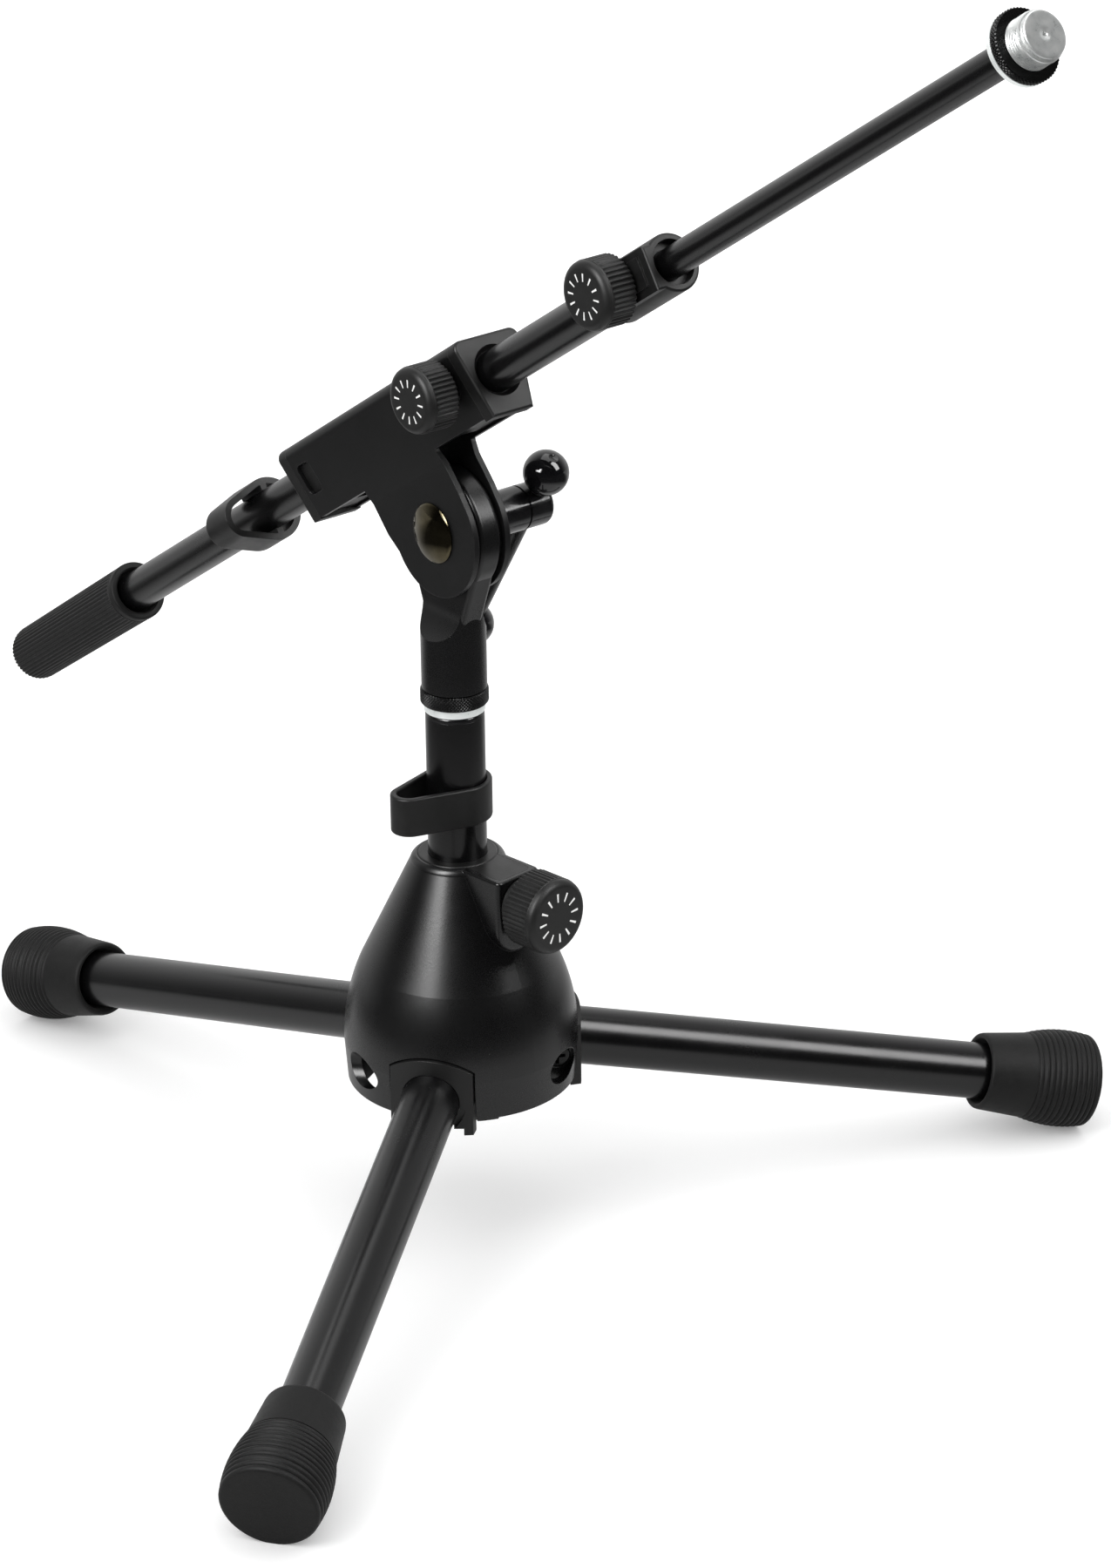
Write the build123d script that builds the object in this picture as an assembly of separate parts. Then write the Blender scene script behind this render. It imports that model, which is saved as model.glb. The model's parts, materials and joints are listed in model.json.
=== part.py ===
"""Low boom microphone stand: die-cast base with three folding legs, clamped rod,
swivel neck, tilting boom bracket and telescoping boom with a 5/8 inch stud.

Frame: origin on the floor under the rod axis, +Z up, the boom's microphone end
points towards +X, and the tilt bolt runs along Y. All lengths are millimetres.
"""

import math
import os

from build123d import *

# --- driving dimensions ------------------------------------------------------
RUNNING_FIT = 0.05          # radial clearance of every shaft that turns or slides
SEAT_FIT = 0.02             # radial clearance of parts that are pressed or glued

ROD_RADIUS = 10.0
ROD_BORE_RADIUS = 8.5
ROD_BOTTOM = 57.2
ROD_TOP = 186.7
LEG_RADIUS = 10.0
LEG_BORE_RADIUS = 8.5
BOOM_RADIUS = 7.0
BOOM_BORE_RADIUS = 6.0
INNER_RADIUS = 5.0
INNER_BORE_RADIUS = 4.0
STUD_RADIUS = 7.94          # 5/8 inch - 27 microphone thread, major radius
NECK_STUD_RADIUS = 4.76     # 3/8 inch thread between rod and swivel neck

LEG_AZIMUTHS = {"front": -53.56, "right": 66.44, "left": 186.44}
LEG_SLOPE = 13.66           # how far the open legs point below the horizontal, degrees
HINGE_RADIUS = 28.5         # hinge axis to rod axis
HINGE_HEIGHT = 64.0
LEG_LENGTH = 206.2          # hinge axis to the end of the rubber foot

KNOB_AZIMUTH = 6.44         # the base clamp faces midway between two legs
BASE_KNOB_HEIGHT = 126.4
BASE_BOTTOM = 54.0
BASE_TOP = 136.0
SKIRT_RADIUS = 40.2

PIVOT_HEIGHT = 253.0        # tilt bolt above the floor
BOOM_ELEVATION = 33.6       # boom above the horizontal at rest, degrees
BOOM_OFFSET = 37.13         # boom axis above the tilt bolt
BOOM_TAIL = -283.0          # closed end of the grip, along the boom from the bolt
BOOM_TIP = 351.0            # end of the microphone stud

BRACKET_KNOB_AT = 42.0      # clamp screw positions along the boom
SLEEVE_KNOB_AT = 143.0

# --- small helpers -----------------------------------------------------------
_sin = math.sin(math.radians(BOOM_ELEVATION))
_cos = math.cos(math.radians(BOOM_ELEVATION))
BOOM = Plane(
    origin=(-BOOM_OFFSET * _sin, 0, PIVOT_HEIGHT + BOOM_OFFSET * _cos),
    x_dir=(_cos, 0, _sin),
    z_dir=(-_sin, 0, _cos),
).location
PIVOT = Pos(0, 0, PIVOT_HEIGHT)
UP = Align.MIN
MID = Align.CENTER


def along_z(radius, start, end):
    """Solid cylinder about Z between two heights."""
    return Pos(0, 0, start) * Cylinder(radius, end - start, align=(MID, MID, UP))


def along_x(radius, start, end):
    """Solid cylinder about X."""
    return Rot(0, 90, 0) * along_z(radius, start, end)


def along_y(radius, start, end):
    """Solid cylinder about Y."""
    return Rot(-90, 0, 0) * along_z(radius, start, end)


def block(x, y, z):
    """Box between the given limits: each argument is a (low, high) pair."""
    size = [high - low for low, high in (x, y, z)]
    return Pos(x[0], y[0], z[0]) * Box(*size, align=(UP, UP, UP))


def turned(start, *steps):
    """Solid of revolution about Z. The outline starts at (radius, height); a step of one
    point is a straight line to it, a step of two points is an arc through the first."""
    edges = []
    here = start
    for step in (*steps, start):
        if len(step) == 2 and isinstance(step[0], tuple):
            middle, there = step
            edges.append(ThreePointArc(*[(r, 0, z) for r, z in (here, middle, there)]))
        else:
            there = step
            edges.append(Line(*[(r, 0, z) for r, z in (here, there)]))
        here = there
    return revolve(make_face(edges), Axis.Z)


def wall_xz(sketch, low, high):
    """Extrude a sketch drawn in (x, z) from y = low to y = high."""
    return Pos(0, high, 0) * extrude(Plane.XZ * sketch, high - low)


def wall_yz(sketch, low, high):
    """Extrude a sketch drawn in (y, z) from x = low to x = high."""
    return Pos(low, 0, 0) * extrude(Plane.YZ * sketch, high - low)


def band_xy(sketch, low, high):
    """Extrude a sketch drawn in (x, y) from z = low to z = high."""
    return Pos(0, 0, low) * extrude(sketch, high - low)


def teardrop(big, small, distance):
    """Sketch of two circles wrapped by one taut line; the small one lies at -Y."""
    circles = Circle(big) + Pos(0, -distance) * Circle(small)
    return make_hull(circles.edges())


def save(node, shape):
    """Write one node; a list of solids becomes one group."""
    if isinstance(shape, list):
        shape = Compound(children=shape)
    export_step(shape, f"parts/{node}.step")


# --- base --------------------------------------------------------------------
COLUMN_RADIUS = 14.5        # cast sleeve around the rod, kept clear of folded legs
INSERT_RADIUS = 13.7
INSERT_BOTTOM = 99.0
TONGUE_HALF_WIDTH = 7.4
TONGUE_REACH = 27.5
BOSS_HALF_WIDTH = 9.6
BOSS_REACH = 29.2
BOSS_BOTTOM = 108.2
SLOT_HALF_WIDTH = 14.9      # opening in the skirt for each leg hinge
SLOT_TOP = 77.0
LUG_INNER = 15.05           # hinge lugs: a thin one under the screw head ...
LUG_OUTER = 17.6
FAR_LUG_OUTER = 21.5        # ... and a thick one that takes the thread
LUG_BOTTOM = 53.2
HINGE_SCREW_RADIUS = 3.0
HINGE_HEAD_HEIGHT = 2.4
CLAMP_SCREW_RADIUS = 4.0
WALL = 3.2


def bell(inset, bottom, top):
    """Turned bell: upright skirt, rounded shoulder and straight cone, drawn inwards by inset."""
    return turned(
        (0, bottom),
        (39.2 - inset, bottom),
        (SKIRT_RADIUS - inset, 68),
        ((38.7 - inset, 82.4), (34.0 - inset, 97)),
        (16.2 - inset, 133.8),
        ((15.5 - inset, 135.2), (14.4 - inset, top)),
        (0, top),
    )


def hinge_slot():
    """Skirt opening of the leg that points along +X: straight sides and an arched top."""
    crown = 25.0
    arch = Pos(0, SLOT_TOP - crown) * Circle(crown)
    sides = Pos(0, 65) * Rectangle(2 * SLOT_HALF_WIDTH, 40)
    return wall_yz(arch & sides, 29, 60)


def web():
    """Stiffening web between two legs, in the plane y = 0, its lower edge rising inwards."""
    outline = Polygon((40, 55), (36.5, 55), (COLUMN_RADIUS, 76), (10, 76), (10, 123), (40, 123), align=None)
    return wall_xz(outline, -1.5, 1.5)


def hinge_lug(near, far, reach):
    """Upright lug beside a leg hinge, from y = near to y = far, with a rounded lower end."""
    outline = Pos((21 + reach) / 2, (LUG_BOTTOM + 84) / 2) * Rectangle(reach - 21, 84 - LUG_BOTTOM)
    return wall_xz(fillet(outline.vertices().group_by(Axis.Y)[0], 4), near, far)


def base_housing():
    shell = bell(0, BASE_BOTTOM, BASE_TOP)
    cavity = bell(WALL, BASE_BOTTOM - 1, BASE_TOP) & along_z(60, BASE_BOTTOM - 1, 122)
    shell -= cavity
    column = along_z(17, 94, 124) + along_z(COLUMN_RADIUS, 60, 94)
    envelope = bell(0.5, LUG_BOTTOM, BASE_TOP - 2)
    shell += column
    for azimuth in LEG_AZIMUTHS.values():
        shell += Rot(0, 0, azimuth + 60) * web() & envelope
        lugs = hinge_lug(-LUG_OUTER, -LUG_INNER, 35) + hinge_lug(LUG_INNER, FAR_LUG_OUTER, 39)
        shell += Rot(0, 0, azimuth) * lugs & envelope
    boss_middle = BOSS_BOTTOM + BOSS_HALF_WIDTH
    boss_face = Pos(0, boss_middle) * Circle(BOSS_HALF_WIDTH)
    upright = Rectangle(2 * BOSS_HALF_WIDTH, BASE_TOP - boss_middle, align=(MID, UP))
    boss_face += Pos(0, boss_middle) * upright
    knob_side = Rot(0, 0, KNOB_AZIMUTH)
    boss = wall_yz(boss_face, 12, BOSS_REACH)
    boss = fillet(boss.edges().filter_by(Axis.Z).sort_by(Axis.X)[-2:], 1.8)
    shell += knob_side * fillet(boss.edges().group_by(Axis.Z)[-1].sort_by(Axis.X)[1:], 0.8)
    gap = TONGUE_HALF_WIDTH + 0.1
    slot = block((0, TONGUE_REACH + 0.1), (-gap, gap), (113, 137))
    shell -= knob_side * fillet(slot.edges().filter_by(Axis.Z).sort_by(Axis.X)[-2:], 2.6)
    shell -= knob_side * Pos(0, 0, BASE_KNOB_HEIGHT) * along_x(CLAMP_SCREW_RADIUS + 0.3, 20, 40)
    shell -= along_z(INSERT_RADIUS + SEAT_FIT, INSERT_BOTTOM - 0.1, BASE_TOP + 1)
    shell -= along_z(11.6, 50, INSERT_BOTTOM)
    for azimuth in LEG_AZIMUTHS.values():
        turn = Rot(0, 0, azimuth)
        shell -= turn * hinge_slot()
        axle = Pos(HINGE_RADIUS, 0, HINGE_HEIGHT)
        shell -= turn * axle * along_y(HINGE_SCREW_RADIUS + SEAT_FIT, -LUG_OUTER - 1, FAR_LUG_OUTER - 1.1)
        shell -= turn * axle * along_y(6.0, -40, -LUG_OUTER)
    return shell


def rod_guide_bush():
    """Plastic bush that guides the rod at the bottom of the cast column."""
    ring = along_z(11.6 - SEAT_FIT, 61, 74) + along_z(13.6, 58.6, 60)
    ring += along_z(11.5, 59, 62)
    return ring - along_z(ROD_RADIUS + RUNNING_FIT, 50, 80)


def base_clamp_insert():
    """Plastic collar with the pressure tongue that carries the clamp nut."""
    ring = along_z(INSERT_RADIUS, INSERT_BOTTOM, BASE_TOP + 0.3)
    ring = fillet(ring.edges().sort_by(Axis.Z)[-1], 0.7)
    tongue = block((8, TONGUE_REACH), (-TONGUE_HALF_WIDTH, TONGUE_HALF_WIDTH), (113.2, BASE_TOP))
    tongue = fillet(tongue.edges().filter_by(Axis.Z).sort_by(Axis.X)[-2:], 2.5)
    insert = ring + Rot(0, 0, KNOB_AZIMUTH) * tongue
    insert -= along_z(ROD_RADIUS + RUNNING_FIT, 90, 140)
    at_screw = Rot(0, 0, KNOB_AZIMUTH) * Pos(0, 0, BASE_KNOB_HEIGHT)
    insert -= at_screw * along_x(CLAMP_SCREW_RADIUS + 0.3, 13.9, 40)
    insert -= at_screw * block((18.9, 24.1), (-6.05, 6.05), (-14, 6.05))
    return insert


def base_clamp_nut():
    nut = block((19, 24), (-6, 6), (-6, 6))
    nut = fillet(nut.edges().filter_by(Axis.X), 1)
    nut -= along_x(CLAMP_SCREW_RADIUS + RUNNING_FIT, 10, 30)
    return Rot(0, 0, KNOB_AZIMUTH) * Pos(0, 0, BASE_KNOB_HEIGHT) * nut


def hinge_screws():
    """One shoulder screw per leg, screwed into the far lug and reached through the skirt."""
    head_face = -LUG_OUTER - HINGE_HEAD_HEIGHT
    screw = along_y(HINGE_SCREW_RADIUS, -LUG_OUTER, FAR_LUG_OUTER - 1.5)
    head = along_y(4.8, head_face, -LUG_OUTER)
    head = fillet(head.edges().sort_by(Axis.Y)[0], 1.2)
    socket = Pos(0, head_face, 0) * block((-2.8, 2.8), (-1, 1.4), (-0.6, 0.6))
    screw = screw + head - socket - Rot(0, 90, 0) * socket
    at_hinge = Pos(HINGE_RADIUS, 0, HINGE_HEIGHT) * screw
    return [Rot(0, 0, azimuth) * at_hinge for azimuth in LEG_AZIMUTHS.values()]


# --- clamp knobs -------------------------------------------------------------
def knob(radius, depth, face_radius, face_rise, hub_radius, hub, screw_radius, screw_depth):
    """Knob about Z: hub below z = 0, gripped rim up to depth, domed shoulder and flat face."""
    top = depth + face_rise
    body = turned(
        (0, -hub),
        (hub_radius, -hub),
        (hub_radius, 0),
        (radius, 0),
        (radius, depth),
        (radius - 0.4, depth + 0.4 * face_rise),
        ((radius - 0.9, depth + 0.8 * face_rise), (face_radius, top)),
        (0, top),
    )
    return body - along_z(screw_radius + SEAT_FIT, -hub - 1, screw_depth)


BASE_KNOB_BACK = 33.9
SMALL_KNOB = dict(
    radius=11.25, depth=9.6, face_radius=9.6, face_rise=2.6, hub_radius=7.5, screw_depth=6
)
BRACKET_KNOB_BACK = -15.2
SLEEVE_KNOB_BACK = -11.3
BRACKET_SCREW_RADIUS = 4.0
SLEEVE_SCREW_RADIUS = 3.0


def toward_base_knob(shape):
    """Carry a shape about Z to the base clamp, with +Z pointing away from the rod."""
    return Rot(0, 0, KNOB_AZIMUTH) * Pos(0, 0, BASE_KNOB_HEIGHT) * Rot(0, 90, 0) * shape


def toward_near_side(shape, along):
    """Carry a shape about Z to a boom clamp, with +Z pointing along -Y."""
    return BOOM * Pos(along, 0, 0) * Rot(90, 0, 0) * shape


def base_knob():
    shape = knob(13.2, 11.5, 11.3, 2.3, 8.5, 4.4, CLAMP_SCREW_RADIUS, 7)
    return toward_base_knob(Pos(0, 0, BASE_KNOB_BACK) * shape)


def base_knob_screw():
    return toward_base_knob(along_z(CLAMP_SCREW_RADIUS, 14.2, BASE_KNOB_BACK + 7))


def bracket_knob():
    shape = knob(hub=2.3, screw_radius=BRACKET_SCREW_RADIUS, **SMALL_KNOB)
    return toward_near_side(Pos(0, 0, -BRACKET_KNOB_BACK) * shape, BRACKET_KNOB_AT)


def bracket_knob_screw():
    screw = along_z(BRACKET_SCREW_RADIUS, BOOM_RADIUS + 0.2, 6 - BRACKET_KNOB_BACK)
    return toward_near_side(screw, BRACKET_KNOB_AT)


def sleeve_knob():
    shape = knob(hub=1.2, screw_radius=SLEEVE_SCREW_RADIUS, **SMALL_KNOB)
    return toward_near_side(Pos(0, 0, -SLEEVE_KNOB_BACK) * shape, SLEEVE_KNOB_AT)


def sleeve_knob_screw():
    screw = along_z(SLEEVE_SCREW_RADIUS, INNER_RADIUS + 0.2, 6 - SLEEVE_KNOB_BACK)
    return toward_near_side(screw, SLEEVE_KNOB_AT)


# --- legs --------------------------------------------------------------------
PLATE_INNER = 37.4          # curved cover of the hinge, in the skirt's own curve
PLATE_OUTER = 41.0
PLATE_HALF_WIDTH = 14.4
FOOT_LENGTH = 41.6


def at_leg(shape, azimuth):
    """Carry a shape drawn about X, with the hinge axis at x = 0, to an open leg."""
    hinge = Rot(0, 0, azimuth) * Pos(HINGE_RADIUS, 0, HINGE_HEIGHT)
    return hinge * Rot(0, LEG_SLOPE, 0) * shape


def leg_tube(azimuth):
    tube = along_x(LEG_RADIUS, 8, LEG_LENGTH - 7) - along_x(LEG_BORE_RADIUS, 0, LEG_LENGTH)
    return at_leg(tube, azimuth)


def leg_hinge_block(azimuth):
    """Moulded hinge: barrel on the screw, plug in the tube and the curved cover plate."""
    crown = 25.0
    arch = Pos(0, 76.5 - crown) * Circle(crown)
    outline = arch & Pos(0, 66.8) * Rectangle(2 * PLATE_HALF_WIDTH, 30)
    for side in (-1, 1):
        outline += Pos(side * (PLATE_HALF_WIDTH - 1.5), 51) * Rectangle(3.0, 3.4)
    ring = along_z(PLATE_OUTER, 45, 80) - along_z(PLATE_INNER, 45, 80)
    plate = wall_yz(outline, 30, 45) & ring
    for side in (-1, 1):
        near, far = sorted((side * 10.4, side * PLATE_HALF_WIDTH))
        plate += block((HINGE_RADIUS, 37.8), (near, far), (58.5, 69.5))
    plate += Pos(HINGE_RADIUS, 0, HINGE_HEIGHT) * along_y(7.0, -14.8, 14.8)
    shape = Rot(0, 0, azimuth) * plate
    shape -= at_leg(along_x(LEG_RADIUS + 0.1, 7.4, 30), azimuth)
    shape -= at_leg(along_x(12.2, 11.6, 30), azimuth)
    shape += at_leg(along_x(LEG_BORE_RADIUS - SEAT_FIT, 2, 36), azimuth)
    bore = Pos(HINGE_RADIUS, 0, HINGE_HEIGHT) * along_y(HINGE_SCREW_RADIUS + RUNNING_FIT, -20, 20)
    return shape - Rot(0, 0, azimuth) * bore


def leg_foot(azimuth):
    """Rubber foot: tapered socket, bulged tread and flat end, worn flat on the floor."""
    start = LEG_LENGTH - FOOT_LENGTH
    body = turned(
        (0, 0),
        (12.2, 0),
        ((13.1, 0.4), (13.5, 1.4)),
        (15.1, 17.3),
        ((17.3, 30), (16.5, FOOT_LENGTH - 1.4)),
        ((16.2, FOOT_LENGTH - 0.4), (15.2, FOOT_LENGTH)),
        (0, FOOT_LENGTH),
    )
    body -= along_z(LEG_RADIUS + SEAT_FIT, -1, FOOT_LENGTH - 6.8)
    body -= along_z(11.4, -1, 1.5)
    foot = at_leg(Pos(start, 0, 0) * Rot(0, 90, 0) * body, azimuth)
    return foot & block((-300, 300), (-300, 300), (0, 80))


# --- rod ---------------------------------------------------------------------
def rod_tube():
    return along_z(ROD_RADIUS, ROD_BOTTOM, ROD_TOP) - along_z(ROD_BORE_RADIUS, 50, 200)


def rod_bottom_cap():
    plug = along_z(ROD_BORE_RADIUS - SEAT_FIT, ROD_BOTTOM - 0.1, ROD_BOTTOM + 9)
    flange = along_z(9.8, ROD_BOTTOM - 1.8, ROD_BOTTOM - 0.1)
    return plug + chamfer(flange.edges().sort_by(Axis.Z)[0], 0.8)


def rod_top_plug():
    """Plug with rounded rim that closes the tube and carries the neck's stud."""
    rim = along_z(ROD_RADIUS, ROD_TOP, 188.7)
    rim = fillet(rim.edges().sort_by(Axis.Z)[-1], 1.2)
    plug = along_z(ROD_BORE_RADIUS - SEAT_FIT, ROD_TOP - 18, ROD_TOP)
    return rim + plug + along_z(NECK_STUD_RADIUS, 188, 211)


def rod_washer():
    return along_z(10.3, 188.75, 191.45) - along_z(NECK_STUD_RADIUS + 0.2, 180, 200)


def rod_lock_ring():
    ring = along_z(11.5, 191.5, 196.6)
    ring = chamfer(ring.edges(), 0.5)
    return ring - along_z(NECK_STUD_RADIUS + RUNNING_FIT, 180, 200)


def rod_cable_clip():
    """Strap that holds the cable against the rod, its loop towards -Y."""
    band = teardrop(12.1, 6.4, 20.0) - teardrop(ROD_RADIUS + RUNNING_FIT, 3.9, 20.0)
    return band_xy(band, 149.8, 163.5)


# --- swivel neck and tilt joint ----------------------------------------------
BOLT_RADIUS = 4.0
TONGUE_HALF = 4.5           # half thickness of the neck's tongue
DISC_HALF = 5.5             # outer face of the friction discs
CHEEK_HALF = 7.5            # outer face of the bracket's cheeks
SCOOP_RADIUS = 14.0
SCOOP_HEIGHT = 227.8        # where the scoops turn upright


def scoop():
    """Hollow milled into one side of the neck: flat above, running out in a quarter round."""
    flat = block((-20, 20), (TONGUE_HALF, 20), (SCOOP_HEIGHT, 250))
    return flat + Pos(0, TONGUE_HALF + SCOOP_RADIUS, SCOOP_HEIGHT) * along_x(SCOOP_RADIUS, -20, 20)


def swivel_neck():
    """Zinc casting: threaded barrel below, scooped on both sides to a flat round tongue."""
    flare = Polygon((-10, 221), (10, 221), (18.5, 244), (-18.5, 244), align=None)
    outline = Pos(0, PIVOT_HEIGHT) * Circle(21.5) + flare
    tongue = wall_xz(outline, -TONGUE_HALF, TONGUE_HALF)
    sides = tongue.faces().sort_by(Axis.Y)
    rims = [edge for edge in sides[0].edges() + sides[-1].edges() if edge.center().Z > 222]
    tongue = fillet(rims, 1.8)
    barrel = along_z(11, 197.0, 240)
    barrel -= scoop()
    barrel -= Rot(0, 0, 180) * scoop()
    neck = barrel + tongue
    neck -= along_z(NECK_STUD_RADIUS + RUNNING_FIT, 190, 212)
    return neck - PIVOT * along_y(BOLT_RADIUS + RUNNING_FIT, -20, 20)


def friction_discs():
    disc = along_y(19.4, TONGUE_HALF, DISC_HALF) - along_y(BOLT_RADIUS + 0.2, 0, 20)
    return [PIVOT * disc, PIVOT * Rot(0, 0, 180) * disc]


def pivot_bolt():
    """Carriage bolt: polished domed head on the near cheek, shank through to the lever."""
    head = along_y(10.3, -CHEEK_HALF - 1.0, -CHEEK_HALF)
    ball_radius = 30.0
    ball = Pos(0, ball_radius - CHEEK_HALF - 2.8, 0) * Sphere(ball_radius)
    dome = along_y(10.3, -CHEEK_HALF - 4, -CHEEK_HALF) & ball
    square = block((-4, 4), (-CHEEK_HALF, -DISC_HALF), (-4, 4))
    bolt = head + dome + square + along_y(BOLT_RADIUS, -DISC_HALF, 27)
    return BOOM * Pos(0, 0, -BOOM_OFFSET) * bolt


# --- boom bracket ------------------------------------------------------------
CHANNEL_REAR = -57.4
CHANNEL_FRONT = 51.2
CHANNEL_LOWER = -13.5
SHEET = 2.0
BUSH_REAR = -62.6
BLOCK_FRONT = 56.2
WINDOW_AT = -51.0           # side windows of the channel, where the rear bush latches
WINDOW_DROP = -0.5


def channel_section(inset):
    """Folded section in (y, z) about the boom axis, open below; inset moves it inwards."""
    half_low, half_top, top = CHEEK_HALF - inset, 13.8 - inset, 12.5 - inset
    outline = Polygon(
        (half_low, -62),
        (half_low, -18.6),
        (half_top, top),
        (-half_top, top),
        (-half_low, -18.6),
        (-half_low, -62),
        align=None,
    )
    corners = [v for v in outline.vertices() if v.Y > 0]
    return fillet(corners, 3.2 - 0.6 * inset)


def side_outline():
    """Bracket seen from the side, in (along the boom, above the boom axis)."""
    cheek = Polygon(
        (-27, -10),
        (-27, CHANNEL_LOWER - 1),
        (-24.6, -30),
        (-21.9, -BOOM_OFFSET),
        (21.9, -BOOM_OFFSET),
        (21.6, -30),
        (19.2, CHANNEL_LOWER - 1),
        (19.2, -10),
        align=None,
    )
    length = CHANNEL_FRONT - CHANNEL_REAR
    channel = Pos((CHANNEL_FRONT + CHANNEL_REAR) / 2, 2) * Rectangle(length, 2 * (2 - CHANNEL_LOWER))
    return channel + cheek + Pos(0, -BOOM_OFFSET) * Circle(22)


def bracket_channel():
    """One folded sheet: roof and leaning sides around the boom, two cheeks on the tilt bolt."""
    sheet = channel_section(0) - channel_section(SHEET)
    folded = wall_yz(sheet, CHANNEL_REAR, CHANNEL_FRONT)
    bracket = folded & wall_xz(side_outline(), -20, 20)
    window = Pos(WINDOW_AT, 0, WINDOW_DROP) * Box(8.0, 40, 10.8)
    bracket -= fillet(window.edges().filter_by(Axis.Y), 2.0)
    bracket -= Pos(BRACKET_KNOB_AT, 0, 0) * along_y(5.55, -20, 0)
    bracket -= Pos(0, 0, -BOOM_OFFSET) * along_y(BOLT_RADIUS + SEAT_FIT, 0, 20)
    bracket -= Pos(0, 0, -BOOM_OFFSET) * block((-4.02, 4.02), (-20, 0), (-4.02, 4.02))
    return BOOM * bracket


def plug_section(height_low):
    """Filling of the folded channel, cut off below at height_low."""
    return channel_section(SHEET + 0.05) & Pos(0, height_low + 20) * Rectangle(40, 40)


def cap_section(height_low):
    """Full outline of the channel's end, closed below."""
    return channel_section(0) & Pos(0, height_low + 20) * Rectangle(40, 40)


def bracket_rear_bush():
    """Plastic guide that caps the channel's rear end and snaps into its side windows."""
    cap = wall_yz(cap_section(-14), BUSH_REAR, CHANNEL_REAR - 0.05)
    cap = fillet(cap.edges().group_by(Axis.X)[0], 1.2)
    bush = cap + wall_yz(plug_section(-12.5), CHANNEL_REAR - 0.1, -43)
    latches = Pos(WINDOW_AT, 0, WINDOW_DROP) * Box(7.6, 40, 10.4)
    latches = fillet(latches.edges().filter_by(Axis.Y), 1.8)
    bush += latches & wall_yz(channel_section(SHEET - 0.2), -60, -40)
    bush -= along_x(BOOM_RADIUS + RUNNING_FIT, -70, -30)
    bush -= along_x(8.2, BUSH_REAR - 1, BUSH_REAR + 1.5)
    return BOOM * bush


def bracket_front_block():
    """Plastic clamp block: fills the channel's front end around the boom tube."""
    flange = wall_yz(cap_section(-14.5), CHANNEL_FRONT + 0.05, BLOCK_FRONT)
    flange = fillet(flange.edges().group_by(Axis.X)[-1], 1.0)
    front = flange + wall_yz(plug_section(-12.5), 26, CHANNEL_FRONT + 0.1)
    front -= along_x(BOOM_RADIUS + RUNNING_FIT, 20, 70)
    mouth = Pos(BLOCK_FRONT - 2, 0, 0) * Rot(0, 90, 0) * Cone(7.2, 8.8, 2.1, align=(MID, MID, UP))
    front -= mouth
    front -= Pos(BRACKET_KNOB_AT, 0, 0) * along_y(5.6, -20, -7.5)
    front -= Pos(BRACKET_KNOB_AT, 0, 0) * along_y(BRACKET_SCREW_RADIUS + 0.2, -20, 0)
    return BOOM * front


def bracket_clamp_nut():
    nut = along_y(5.5, -10.6, -7.6) - along_y(BRACKET_SCREW_RADIUS + RUNNING_FIT, -20, 0)
    return BOOM * Pos(BRACKET_KNOB_AT, 0, 0) * nut


# --- clamping lever ----------------------------------------------------------
BAR_AT = 33.5               # sliding bar's plane, along Y
BAR_LEAN = 32.0             # bar leans this far from vertical towards +X
BAR_RADIUS = 2.75
BALL_RADIUS = 7.75
BALLS_AT = (-62.5, 16.0)


def lever_hub():
    hub = along_y(7.6, 8.2, 38.4)
    hub = fillet(hub.edges().sort_by(Axis.Y)[-1], 2.0)
    groove = along_y(9, 27.6, 28.4) - along_y(7.1, 27, 29)
    hub -= groove
    hub -= along_y(BOLT_RADIUS + RUNNING_FIT, 0, 27.2)
    lean = Pos(0, BAR_AT, 0) * Rot(0, BAR_LEAN, 0)
    return PIVOT * (hub - lean * along_z(BAR_RADIUS + RUNNING_FIT, -20, 20))


def lever_bar():
    lean = PIVOT * Pos(0, BAR_AT, 0) * Rot(0, BAR_LEAN, 0)
    return lean * along_z(BAR_RADIUS, BALLS_AT[0] - 3, BALLS_AT[1] + 3)


def lever_balls():
    lean = PIVOT * Pos(0, BAR_AT, 0) * Rot(0, BAR_LEAN, 0)
    socket = along_z(BAR_RADIUS + SEAT_FIT, BALLS_AT[0] - 3, BALLS_AT[1] + 3)
    return [lean * (Pos(0, 0, height) * Sphere(BALL_RADIUS) - socket) for height in BALLS_AT]


# --- boom --------------------------------------------------------------------
GRIP_FRONT = -197.0
TUBE_FRONT = 152.0
SLEEVE_REAR = 130.0
SLEEVE_FRONT = 161.0
SLEEVE_RADIUS = 9.5
INNER_REAR = 60.0
INNER_FRONT = 337.0
THREAD_START = 342.9
STUD_NECK_RADIUS = 7.6      # root of the stud's thread, under the washer and the lock ring


def boom_outer_tube():
    tube = along_x(BOOM_RADIUS, BOOM_TAIL + 5, TUBE_FRONT) - along_x(BOOM_BORE_RADIUS, -300, 200)
    tube -= Pos(SLEEVE_KNOB_AT, 0, 0) * along_y(SLEEVE_SCREW_RADIUS + 0.3, -20, 0)
    return BOOM * tube


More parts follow.
